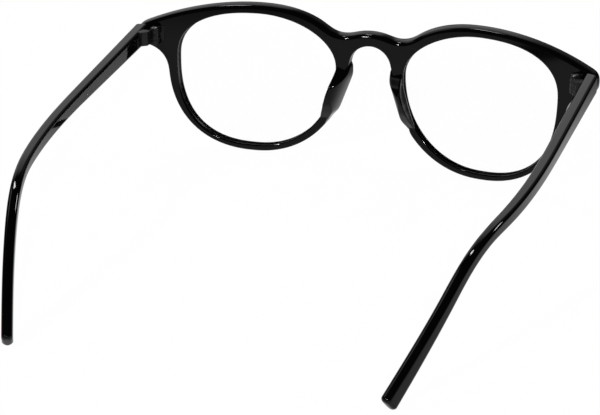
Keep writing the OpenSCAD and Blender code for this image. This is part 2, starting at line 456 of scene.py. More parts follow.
class Wiring:
    """Adds nodes to a tree and links them."""

    def __init__(self, tree: bpy.types.NodeTree) -> None:
        """Keeps the tree."""
        self.tree = tree

    def feed(self, target: Socket, value: Any) -> None:
        """Fills an input.

        Args:
            target: The input.
            value: A socket, which is linked, or a value.
        """
        if isinstance(value, Socket):
            self.tree.links.new(value, target)
        else:
            target.default_value = value

    def node(
        self, kind: str, *values: Any, settings: Optional[dict[str, Any]] = None, **inputs: Any
    ) -> bpy.types.Node:
        """Adds a node.

        Args:
            kind: Type of the node.
            values: Values or sockets for its first inputs.
            settings: Properties of the node.
            inputs: Values or sockets, by the input's name with spaces as underscores.

        Returns:
            The node.
        """
        made = self.tree.nodes.new(kind)
        for key, value in (settings or {}).items():
            setattr(made, key, value)
        for target, value in zip(made.inputs, values):
            self.feed(target, value)
        for key, value in inputs.items():
            self.feed(made.inputs[key.replace("_", " ")], value)
        return made

    def math(self, operation: str, *values: Any) -> Socket:
        """Does one sum on numbers."""
        return self.node("ShaderNodeMath", *values, settings={"operation": operation}).outputs[0]

    def vector(self, operation: str, *values: Any, **inputs: Any) -> bpy.types.Node:
        """Does one sum on vectors."""
        settings = {"operation": operation}
        return self.node("ShaderNodeVectorMath", *values, settings=settings, **inputs)


class GeometryTree(Wiring):
    """Builds a Geometry Nodes tree with named inputs."""

    def __init__(self, name: str) -> None:
        """Starts an empty tree.

        Args:
            name: Name of the tree.
        """
        super().__init__(bpy.data.node_groups.new(name, "GeometryNodeTree"))
        self.ids: dict[str, str] = {}
        self._declare("Geometry", "NodeSocketGeometry")
        self.entry = self.tree.nodes.new("NodeGroupInput")

    def _declare(self, name: str, kind: str, way: str = "INPUT") -> str:
        """Adds a socket to the tree's outside and returns its identifier."""
        made = self.tree.interface.new_socket(name=name, in_out=way, socket_type=kind)
        return made.identifier

    def input(self, name: str, kind: str) -> Socket:
        """Adds a named input and returns its socket inside the tree."""
        self.ids[name] = self._declare(name, kind)
        return self.entry.outputs[name]

    def finish(self, geometry: Socket, material: Socket) -> None:
        """Ends the tree in Realize Instances and Set Material.

        Args:
            geometry: What the tree makes.
            material: Its material.
        """
        whole = self.node("GeometryNodeRealizeInstances", Geometry=geometry)
        dressed = self.node("GeometryNodeSetMaterial", Geometry=whole.outputs[0], Material=material)
        self._declare("Geometry", "NodeSocketGeometry", "OUTPUT")
        self.node("NodeGroupOutput", dressed.outputs[0])

    def apply(self, piece: bpy.types.Object, values: dict[str, Any]) -> None:
        """Runs the tree on a piece and keeps the result as its plain mesh.

        Args:
            piece: The piece that carries the tree's input.
            values: A value for each named input.
        """
        modifier = piece.modifiers.new(self.tree.name, "NODES")
        modifier.node_group = self.tree
        for name, value in values.items():
            modifier[self.ids[name]] = value
        graph = bpy.context.evaluated_depsgraph_get()
        made = bpy.data.meshes.new_from_object(piece.evaluated_get(graph))
        piece.modifiers.remove(modifier)
        old, piece.data = piece.data, made
        bpy.data.meshes.remove(old)


# Finishes


@dataclass(frozen=True)
class Finish:
    """A finish with its roughness and its relief patterned on Object coordinates.

    Attributes:
        name: Name of the material.
        colour: Linear colour.
        index: Index of refraction; for a coated lens, the one that gives its faint reflection.
        roughness: Least and greatest roughness.
        grain: Scale and detail of the noise that spreads the roughness.
        spread: The noise's values for the least and the greatest roughness.
        relief: Scale, detail, strength and depth, in millimetres, of a fine relief.
        tint: Colour of a clear finish's reflection.
    """

    name: str
    colour: Triple
    index: float
    roughness: Pair
    grain: Pair
    spread: Pair = (0.0, 1.0)
    relief: Optional[Quad] = None
    tint: Optional[Triple] = None

    def make(self) -> bpy.types.Material:
        """Builds the material.

        Returns:
            The material.
        """
        mat = bpy.data.materials.new(self.name)
        mat.use_nodes = True
        make = Wiring(mat.node_tree)
        place = make.node("ShaderNodeTexCoord").outputs["Object"]

        def noise(scale: float, detail: float) -> Socket:
            """Adds a noise on Object coordinates."""
            made = make.node("ShaderNodeTexNoise", Vector=place, Scale=scale, Detail=detail)
            return made.outputs["Fac"]

        ends = dict(zip(("From_Min", "From_Max", "To_Min", "To_Max"), self.spread + self.roughness))
        rough = make.node("ShaderNodeMapRange", Value=noise(*self.grain), **ends)
        inputs = {"Base Color": (*self.colour, 1.0), "IOR": self.index, "Roughness": rough.outputs[0]}
        if self.relief:
            scale, detail, strength, depth = self.relief
            height = noise(scale, detail)
            shape = {"Strength": strength, "Distance": depth / 1000.0, "Height": height}
            inputs["Normal"] = make.node("ShaderNodeBump", **shape).outputs[0]
        if self.tint:
            inputs.update({"Transmission Weight": 1.0, "Specular Tint": (*self.tint, 1.0)})
        for name, value in inputs.items():
            make.feed(mat.node_tree.nodes["Principled BSDF"].inputs[name], value)
        return mat


@dataclass(frozen=True)
class Plastic(Finish):
    """Polished black plastic, hazy where it was handled and rippled by the polishing."""

    name: str = "polished_black_plastic"
    colour: Triple = (0.0007, 0.0007, 0.0008)
    index: float = 1.22
    roughness: Pair = (0.03, 0.07)
    grain: Pair = (55.0, 4.0)
    spread: Pair = (0.35, 0.75)
    relief: Optional[Quad] = (160.0, 1.0, 0.25, 0.0015)


@dataclass(frozen=True)
class Wall(Finish):
    """Unpolished black wall round a lens, rough from the tool."""

    name: str = "unpolished_black_wall"
    colour: Triple = (0.0015, 0.0015, 0.0016)
    index: float = 1.12
    roughness: Pair = (0.45, 0.65)
    grain: Pair = (700.0, 2.0)


@dataclass(frozen=True)
class Clear(Finish):
    """Clear lens with an anti-reflection coating and a trace of film."""

    name: str = "coated_clear_lens"
    colour: Triple = (1.0, 1.0, 1.0)
    index: float = 1.12
    roughness: Pair = (0.0, 0.002)
    grain: Pair = (30.0, 2.0)
    tint: Optional[Triple] = (0.86, 0.8, 1.0)


@dataclass(frozen=True)
class Plating(Finish):
    """Black plated hinge metal, finely brushed."""

    name: str = "black_plated_hinge"
    colour: Triple = (0.004, 0.004, 0.0045)
    index: float = 1.28
    roughness: Pair = (0.1, 0.26)
    grain: Pair = (900.0, 3.0)
    relief: Optional[Quad] = (900.0, 3.0, 0.04, 0.002)


@dataclass(frozen=True)
class ScrewPlating(Plating):
    """The smoother and brighter plating of the screws."""

    name: str = "black_plated_screw"
    index: float = 1.6
    roughness: Pair = (0.0, 0.16)


# Front


@dataclass
class Outline:
    """The front's outlines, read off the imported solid.

    Attributes:
        outer: Loop round the whole front.
        openings: Loops round the two lens openings, the left one first.
        spacing: Distance between two points of a loop.
        soft: Width of the smoothing, for the outer loop and for an opening.
        slack: How far from the face of the front a point of the face may lie.
    """

    outer: Array
    openings: list[Array]
    spacing: float = 0.45
    soft: Pair = (0.85, 0.8)
    slack: float = 0.04

    @classmethod
    def from_node(cls, node: bpy.types.Object, wrap: Wrap, stance: Stance) -> "Outline":
        """Traces the edges of the face of the front.

        Args:
            node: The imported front.
            wrap: The front's wrap.
            stance: Where the glasses stand.

        Returns:
            The outlines, smooth and evenly spaced.
        """
        work = bmesh.new()
        work.from_mesh(node.data)
        bmesh.ops.remove_doubles(work, verts=work.verts, dist=WELD)
        work.verts.index_update()
        flat = stance.unplace(np.array([v.co for v in work.verts]))
        gap = np.hypot(flat[:, 0], flat[:, 1] - wrap.radius) - wrap.radius - wrap.depth
        on_face = np.abs(gap) < cls.slack
        after: dict[int, list[int]] = {}
        for edge in work.edges:
            faces = [f for f in edge.link_faces if all(on_face[v.index] for v in f.verts)]
            if len(faces) == 1:
                a, b = (v.index for v in edge.verts)
                after.setdefault(a, []).append(b)
                after.setdefault(b, []).append(a)
        work.free()
        loops = []
        while after:
            start = next(iter(after))
            chain, here, last = [start], after[start][0], start
            while here != start:
                chain.append(here)
                last, here = here, next(n for n in after[here] if n != last)
            for k in chain:
                del after[k]
            loops.append(flat[chain][:, [0, 2]])
        loops.sort(key=lambda c: np.ptp(c[:, 0]))
        outer = even_loop(loops[-1], cls.spacing, cls.soft[0])
        openings = [even_loop(c, cls.spacing, cls.soft[1]) for c in loops[-3:-1]]
        openings.sort(key=lambda c: -c[:, 0].mean())
        return cls(outer, openings)


@dataclass
class EdgeCut:
    """Shape of the wall along a loop, given for each of its points.

    Attributes:
        rear: Radius of the rounding at the rear.
        front: Radius of the rounding at the front.
        slope: How much further in the wall stands at the rear, in a gentle bow.
        groove: Start depth, end depth and cut of a lens groove; such a wall is unpolished
            where it faces up.
        tries: How often the place where rounding and wall meet is corrected.
    """

    rear: Array
    front: Array
    slope: Array
    groove: Optional[Triple] = None
    tries: int = 6

    def join(self, depth: float) -> tuple[Array, Array]:
        """Finds where the rear rounding runs into the bowed wall.

        Args:
            depth: Depth of the sheet.

        Returns:
            The angle at which the rounding ends, and the length of the wall.
        """
        end = np.full(len(self.rear), RIGHT_ANGLE)
        for _ in range(self.tries):
            wall = depth - self.front - self.rear * (1 - np.cos(end))
            end = RIGHT_ANGLE - np.arctan(2 * self.slope / wall)
        return end, wall

    def rear_inset(self, depth: float) -> Array:
        """Distance from the loop to the edge of the rear face."""
        return self.slope + self.rear * np.sin(self.join(depth)[0])


@dataclass
class WrappedSheet:
    """A sheet bent to the front's wrap, with rounded edges and, if wanted, grooves.

    Attributes:
        wrap: The front's wrap.
        rear: Depth of the sheet's rear face in front of the back of the front.
        front: Depth of the sheet's front face in front of the back of the front.
        pitch: Distance between two points inside the faces.
        arc_steps: Steps round a rounded edge.
        rows: Distance between two rows of points, as a share of the pitch.
        margin: Room that the points leave along the edges, as a share of the pitch.
        facing: How far down a groove's wall faces into the material where it is unpolished.
        bow: Where a bowed wall has rings, as shares of its length from the front.
    """

    wrap: Wrap
    rear: float
    front: float
    pitch: float = 1.6
    arc_steps: int = 7
    rows: float = 0.87
    margin: float = 0.45
    facing: float = -0.25
    bow: Triple = (0.75, 0.5, 0.25)

    def point(self, flat: Array, depth: Any) -> Array:
        """Gives flat points their place at a depth."""
        return np.stack([flat[:, 0], self.wrap.y(flat[:, 0], depth), flat[:, 1]], axis=1)

    def edge(self, solid: Solid, loop: Array, inward: Array, cut: EdgeCut) -> dict[Face, Array]:
        """Builds the wall along one loop, from the rear face to the front face.

        Args:
            solid: The solid that takes the wall.
            loop: The loop.
            inward: Directions from the loop into the material.
            cut: How the wall is shaped.

        Returns:
            The numbers of the ring on each face.
        """
        ones = np.ones(len(loop))
        out = np.stack([-inward[:, 0], 0 * ones, -inward[:, 1]], axis=1)
        end, wall = cut.join(self.front - self.rear)
        steps = np.linspace(0, 1, self.arc_steps + 1)
        # Inset, depth and angle of each ring; the angle is nought on a face
        rows = []
        for angle in (f * end for f in steps):
            inset = cut.slope + cut.rear * (np.sin(end) - np.sin(angle))
            rows.append((inset, self.rear + cut.rear * (1 - np.cos(angle)), angle, Face.REAR))
        if cut.groove:
            near, far, deep = cut.groove
            for depth, sink in ((near, 0.0), (near, deep), (far, deep), (far, 0.0)):
                rows.append((sink, depth, RIGHT_ANGLE * ones, Face.REAR))
        else:
            start = self.rear + cut.rear * (1 - np.cos(end))
            for t in self.bow:
                angle = RIGHT_ANGLE - np.arctan(2 * cut.slope * t / wall)
                rows.append((cut.slope * t * t, start + wall * (1 - t), angle, Face.REAR))
        for angle in (f * RIGHT_ANGLE * ones for f in steps[::-1]):
            depth = self.front - cut.front * (1 - np.cos(angle))
            rows.append((cut.front * (1 - np.sin(angle)), depth, angle, Face.FRONT))
        rings = []
        for inset, depth, angle, face in rows:
            flat = loop + inward * (inset * ones)[:, None]
            lean = self.wrap.normal(flat[:, 0], face) * np.cos(angle)[:, None]
            normals = lean + out * np.sin(angle)[:, None]
            rings.append(solid.add(self.point(flat, depth), normals))
        for k, (a, b) in enumerate(zip(rings, rings[1:])):
            walled = cut.groove and k >= self.arc_steps
            solid.band(a, b, inward[:, 1] < self.facing if walled else None)
        return {Face.REAR: rings[0], Face.FRONT: rings[-1]}

    def fill(
        self, solid: Solid, rings: Sequence[Array], flats: Sequence[Array], face: Face
    ) -> None:
        """Fills a face between its outer ring and its holes.

        Args:
            solid: The solid that takes the face.
            rings: Numbers of the rings' points, the outer ring first.
            flats: The same rings as flat loops.
            face: The face that is filled.
        """
        low, high = flats[0].min(axis=0), flats[0].max(axis=0)
        rows = []
        for k, z in enumerate(np.arange(low[1], high[1], self.pitch * self.rows)):
            xs = np.arange(low[0] + (k % 2) * self.pitch / 2, high[0], self.pitch)
            rows.append(np.stack([xs, np.full(len(xs), z)], axis=1))
        grid = np.concatenate(rows)
        grid = grid[inside(flats, grid)]
        grid = grid[nearest(grid, np.concatenate(flats)) > self.pitch * self.margin]
        place = self.point(grid, self.rear if face is Face.REAR else self.front)
        numbers = np.concatenate([*rings, solid.add(place, self.wrap.normal(grid[:, 0], face))])
        flat = [Vector(p) for p in np.concatenate([*flats, grid]).tolist()]
        edges, first = [], 0
        for loop in flats:
            n = len(loop)
            edges += [(first + i, first + (i + 1) % n) for i in range(n)]
            first += n
        points, _, faces, origin, *_ = delaunay_2d_cdt(flat, edges, [], 0, CLOSE)
        back = [int(numbers[o[0]]) if o else -1 for o in origin]
        middle = np.array([np.mean([points[i][:] for i in f], axis=0) for f in faces])
        for f, kept in zip(faces, inside(flats, middle)):
            if kept and all(back[i] >= 0 for i in f):
                solid.faces.append(tuple(back[i] for i in f))

    def build(self, loops: Sequence[Array], cuts: Sequence[EdgeCut]) -> Solid:
        """Builds the sheet.

        Args:
            loops: Its outer loop and the loops of its holes.
            cuts: How the wall along each loop is shaped.

        Returns:
            The sheet as one closed solid.
        """
        solid = Solid()
        rings: dict[Face, list[Array]] = {face: [] for face in Face}
        flats: dict[Face, list[Array]] = {face: [] for face in Face}
        for k, (loop, cut) in enumerate(zip(loops, cuts)):
            inward = outward(loop) if k else -outward(loop)
            ends = self.edge(solid, loop, inward, cut)
            insets = {Face.REAR: cut.rear_inset(self.front - self.rear), Face.FRONT: cut.front}
            for face in Face:
                rings[face].append(ends[face])
                flats[face].append(loop + inward * insets[face][:, None])
        for face in Face:
            self.fill(solid, rings[face], flats[face], face)
        return solid


@dataclass
class Front:
    """The plastic front: rims, keyhole bridge and end pieces.

    Attributes:
        wrap: The front's wrap.
        stance: Where the glasses stand.
        outline: Its outlines.
        round_low: Radius of the outer edge at the rear where it faces down or sideways.
        round_top: Radius of the outer edge at the rear where it faces up.
        round_face: Radius of the outer edge at the face.
        round_nose: The same beside the pads.
        slope_top: How much further in the top stands at the rear.
        slope_nose: How much further in the nose side stands at the rear, under the pads.
        round_opening: Radius of the edges of the lens openings.
        groove: Start depth, end depth and cut of the lens groove.
        top: How far up an edge faces where the top's shape starts, and until it is whole.
        nose: Half width, bottom, top and fade of the nose sides under the pads.
        nose_facing: How far towards the middle such a side faces at least.
        soft: Width of the smoothing, of the top's share, the nose side's and the room.
        shares: The most of the room to the next loop that an outer rounding, a slope and an
            opening's rounding take.
    """

    wrap: Wrap
    stance: Stance
    outline: Outline
    round_low: float = 0.55
    round_top: float = 1.15
    round_face: float = 0.5
    round_nose: float = 0.3
    slope_top: float = 0.42
    slope_nose: float = 1.3
    round_opening: float = 0.4
    groove: Triple = (0.85, 2.75, 0.5)
    top: Pair = (0.15, 0.5)
    nose: Quad = (15.0, -11.0, 7.0, 2.0)
    nose_facing: float = 0.3
    soft: Triple = (1.2, 0.8, 1.5)
    shares: Triple = (0.5, 0.4, 0.3)

    def _outer_cut(self, loop: Array, room: Array) -> EdgeCut:
        """Shapes the outer edge.

        Args:
            loop: The outer loop.
            room: Distance from each of its points to the nearest opening.

        Returns:
            A full rounding and a bowed wall on top, a bowed wall under the pads, small
            roundings elsewhere.
        """
        out, (x, z) = outward(loop), loop.T
        up = ease((out[:, 1] - self.top[0]) / self.top[1])
        up = smoothed(up, self.soft[0], self.outline.spacing)
        half, low, high, fade = self.nose
        side = (out[:, 0] * np.sign(x) < -self.nose_facing) & (np.abs(x) < half)
        side = side * np.clip((z - low) / fade, 0, 1) * np.clip((high - z) / fade, 0, 1)
        side = smoothed(side, self.soft[1], self.outline.spacing)
        rear = self.round_low + (self.round_top - self.round_low) * up
        face = self.round_face - (self.round_face - self.round_nose) * side
        slope = np.maximum(self.slope_top * up, self.slope_nose * side)
        limit = self.shares[0] * room
        slope = np.minimum(slope, self.shares[1] * room)
        return EdgeCut(np.minimum(rear, limit), np.minimum(face, limit), slope)

    def build(self) -> bpy.types.Object:
        """Builds the front.

        Returns:
            The front as one closed piece.
        """
        loops, cuts = [self.outline.outer, *self.outline.openings], []
        for k, loop in enumerate(loops):
            others = np.concatenate([o for i, o in enumerate(loops) if i != k])
            room = smoothed(nearest(loop, others), self.soft[2], self.outline.spacing)
            small = np.minimum(self.round_opening, self.shares[2] * room)
            cut = EdgeCut(small, small, small * 0, self.groove) if k else self._outer_cut(loop, room)
            cuts.append(cut)
        sheet = WrappedSheet(self.wrap, 0.0, self.wrap.depth).build(loops, cuts)
        return sheet.build("front_body", self.stance)


@dataclass
class Lens(SidePart):
    """One clear lens, bent to the front's wrap.

    Attributes:
        opening: Loop round its opening.
        near: Depth of the rear face.
        thickness: Thickness of the lens.
        reach: How far its edge reaches into the groove.
        edge: Radius of its edges.
    """

    opening: Array
    near: float = 0.9
    thickness: float = 1.8
    reach: float = 0.45
    edge: float = 0.08

    def build(self) -> bpy.types.Object:
        """Builds the lens.

        Returns:
            The lens as one closed piece.
        """
        sheet = WrappedSheet(self.wrap, self.near, self.near + self.thickness, pitch=2.4, arc_steps=2)
        loop = self.opening + outward(self.opening) * self.reach
        small = np.full(len(loop), self.edge)
        solid = sheet.build([loop], [EdgeCut(small, small, small * 0)])
        return solid.build(f"lens_sheet_{self.side.word}", self.stance)


# Nose pads


@dataclass
class NosePad(SidePart):
    """A fixed pad: the rearward wedge of the rim beside the nose.

    Attributes:
        outline: The front's outlines.
        levels: From the top down: height above the lens middle, reach behind the rim, overhang
            of the crest past the opening's edge, and bulge past the rim's nose side.
        crest: Radius of the crest's edge.
        start: Depth at which the nose side starts.
        full: Reach that the nose side's bow aims at, over the pad's whole height.
        lean: Lean of the nose side at its start and at the crest, in degrees.
        pull: How strongly these two leans draw the bow.
        shoulder: Rise of the cut across the bow, towards the lens side.
        hollow: Hollow of the lens side for each millimetre of its height.
        sunk: How deep the foot sits in the rim, on the nose side and on the lens side.
        foot: Least depth of the lens side below the back of the rim and below the crest.
        under: How far below its start the bow may pass, and how deep the section starts.
        turn: Turn of the crest's edge, in radians.
        counts: Points of the bow, before and after they are evened out, of the crest's edge
            and of the lens side.
        rows: How many sections there are.
        soft: Width of the smoothing between the levels, and how many rows it reaches.
    """

    outline: Outline
    levels: tuple[Quad, ...] = (
        (8.2, -1.5, -0.5, -0.4),
        (7.2, -0.7, -0.3, 0.2),
        (6.4, -0.1, -0.3, 0.55),
        (5.0, 1.0, -0.2, 0.3),
        (3.0, 3.4, 0.0, 0.05),
        (1.5, 4.8, 0.25, 0.0),
        (-1.5, 5.1, 0.6, 0.0),
        (-4.5, 4.2, 0.6, 0.0),
        (-7.5, 2.1, 0.3, 0.0),
        (-9.2, 0.7, 0.0, 0.0),
        (-10.2, -0.1, -0.5, 0.0),
        (-11.5, -1.3, -0.6, -0.1),
    )
    crest: float = 0.35
    start: float = -3.1
    full: float = 5.15
    lean: Pair = (5.0, 76.0)
    pull: float = 0.6
    shoulder: float = 0.26
    hollow: float = 0.025
    sunk: Pair = (0.5, 0.4)
    foot: float = 0.2
    under: Pair = (0.05, 0.1)
    turn: float = 1.1
    counts: tuple[int, int, int, int] = (60, 40, 5, 8)
    rows: int = 96
    soft: tuple[float, int] = (0.45, 7)

    def _edge_at(self, loop: Array, z: float) -> float:
        """Finds where a loop first crosses a height.

        Args:
            loop: The loop.
            z: The height.

        Returns:
            The distance from the middle.
        """
        (x, h), (x2, h2) = loop.T, np.roll(loop, -1, axis=0).T
        hit = ((h - z) * (h2 - z) <= 0) & (x > 0) & (np.abs(h2 - h) > LEVEL)
        return float((x[hit] + (z - h[hit]) * (x2[hit] - x[hit]) / (h2[hit] - h[hit])).min())

    def section(self, z: float, reach: float, overhang: float, bulge: float) -> Array:
        """Draws the section at one height: bowed nose side, sharp crest, hollow lens side.

        Args:
            z: Height above the lens middle.
            reach: Reach behind the rim.
            overhang: How far the crest stands past the opening's edge.
            bulge: How far the nose side stands past the rim's.

        Returns:
            Points from the nose side over the crest to the lens side, as X and depth.
        """
        nose = self._edge_at(self.outline.outer, z) - bulge
        rim = self._edge_at(self.outline.openings[0], z)
        lens, r = rim + overhang, self.crest
        foot, top = np.array([nose, self.start]), np.array([lens - r, self.full])
        first, last = (np.array([math.sin(a), math.cos(a)]) for a in map(math.radians, self.lean))
        out = foot + self.pull * (self.full - self.start) * first
        back = top - self.pull * (top[0] - nose) * last
        rough, even, turn, straight = self.counts
        t = np.linspace(0, 1, rough)[:, None]
        u = 1 - t
        bow = u**3 * foot + 3 * t * u**2 * out + 3 * t * t * u * back + t**3 * top
        cut = reach - self.shoulder * (lens - r - bow[:, 0])
        bow[:, 1] = np.minimum(bow[:, 1], np.maximum(cut, self.start - self.under[0]))
        along = lengths(bow)
        bow = picked(np.linspace(0, along[-1], even), along, bow)
        for _ in range(2):
            bow[1:-1] = 0.25 * bow[:-2] + 0.5 * bow[1:-1] + 0.25 * bow[2:]
        high = reach - r
        low = min(-self.foot, high - self.foot)
        s = np.linspace(0, 1, straight)[1:]
        dip = self.hollow * (high - low) * 4 * s * (1 - s)
        return np.vstack([
            (nose + self.sunk[0], self.start - self.under[1]),
            bow,
            np.array([lens - r, high]) + r * arc(self.turn, 0, turn),
            np.stack([lens - dip, high + (low - high) * s], axis=1),
            (min(lens, rim) - self.sunk[1], low - self.sunk[1]),
        ])

    def build(self) -> bpy.types.Object:
        """Builds the pad.

        Returns:
            The pad as one closed piece.
        """
        levels = np.array(self.levels)
        zs = np.linspace(levels[0, 0], levels[-1, 0], self.rows)
        width, reach = self.soft
        kernel = np.exp(-0.5 * (np.arange(-reach, reach + 1) * (zs[0] - zs[1]) / width) ** 2)
        values = []
        for column in levels[:, 1:].T:
            padded = np.pad(np.interp(-zs, -levels[:, 0], column), reach, mode="edge")
            values.append(np.convolve(padded, kernel / kernel.sum(), mode="valid"))
        solid, rings = Solid(), []
        for z, row in zip(zs, np.array(values).T):
            x, depth = self.section(z, *row).T
            y = self.wrap.y(x) + depth
            rings.append(solid.add(np.stack([x, y, np.full(len(x), z)], axis=1)))
        for a, b in zip(rings, rings[1:]):
            solid.band(a, b)
        solid.faces += [tuple(rings[0].tolist()), tuple(rings[-1][::-1].tolist())]
        return solid.build(f"nose_pad_body_{self.side.word}", self.stance, self.side)


# Temples


def sweep_tree() -> GeometryTree:
    """Builds the tree that sweeps a rounded section along a path.

    The path is a chain of points that carry half_height, half_thickness, rounding, past_bend,
    skew, outward, upward and heading.

    Returns:
        The tree, with the inputs Rings, Corner Steps, Tip Rounding and Material.
    """
    make = GeometryTree("temple_sweep")
    rings = make.input("Rings", "NodeSocketInt")
    steps = make.input("Corner Steps", "NodeSocketInt")
    extra = make.input("Tip Rounding", "NodeSocketFloat")
    material = make.input("Material", "NodeSocketMaterial")
    corner = make.math("ADD", steps, 1.0)
    around = make.math("MULTIPLY", corner, 4.0)
    closed = make.math("ADD", around, 1.0)
    grid = make.node("GeometryNodeMeshGrid", Vertices_X=rings, Vertices_Y=closed)
    index = make.node("GeometryNodeInputIndex").outputs[0]

    def whole(value: Socket, size: Socket) -> Socket:
        """Counts how many times a size goes into a whole number."""
        return make.math("FLOOR", make.math("DIVIDE", make.math("ADD", value, 0.5), size))

    def left(value: Socket, times: Socket, size: Socket) -> Socket:
        """Takes a size away from a value a number of times."""
        return make.math("SUBTRACT", value, make.math("MULTIPLY", times, size))

    ring = whole(index, closed)
    place = make.math("MODULO", left(index, ring, closed), around)
    quarter = whole(place, corner)
    step = left(place, quarter, corner)
    angle = make.math("ADD", quarter, make.math("DIVIDE", step, steps))
    angle = make.math("MULTIPLY", angle, RIGHT_ANGLE)
    middle = make.math("MULTIPLY", make.math("ADD", quarter, 0.5), RIGHT_ANGLE)

    def sampled(source: bpy.types.Node, kind: str) -> Socket:
        """Reads a value at the path's point of this ring."""
        inputs = make.entry.outputs["Geometry"], source.outputs[0], ring
        return make.node("GeometryNodeSampleIndex", *inputs, settings={"data_type": kind}).outputs[0]

    def carried(name: str, kind: str = "FLOAT") -> Socket:
        """Reads what the path's point of this ring carries."""
        settings = {"data_type": kind}
        return sampled(make.node("GeometryNodeInputNamedAttribute", name, settings=settings), kind)

    past = make.math("MULTIPLY", carried("past_bend"), extra)
    radius = make.math("ADD", carried("rounding"), past)

    def along(name: str, turn: str) -> Socket:
        """Finds the distance from the middle of the section along one of its directions.

        Args:
            name: What the path's point carries as half the section's size that way.
            turn: COSINE across the section or SINE up it.

        Returns:
            The distance.
        """
        half = carried(name)
        held = make.math("MINIMUM", radius, half)
        sign = make.math("SIGN", make.math(turn, middle))
        flat = make.math("MULTIPLY", make.math("SUBTRACT", half, held), sign)
        return make.math("ADD", flat, make.math("MULTIPLY", held, make.math(turn, angle)))

    across = along("half_thickness", "COSINE")
    up = along("half_height", "SINE")
    slide = make.math("MULTIPLY", across, carried("skew"))
    spot = sampled(make.node("GeometryNodeInputPosition"), "FLOAT_VECTOR")
    for name, reach in (("outward", across), ("upward", up), ("heading", slide)):
        part = make.vector("SCALE", carried(name, "FLOAT_VECTOR"), Scale=reach).outputs[0]
        spot = make.vector("ADD", spot, part).outputs[0]
    moved = make.node("GeometryNodeSetPosition", Geometry=grid.outputs[0], Position=spot)
    merged = make.node("GeometryNodeMergeByDistance", Geometry=moved.outputs[0], Distance=MERGE)
    make.finish(merged.outputs[0], material)
    return make


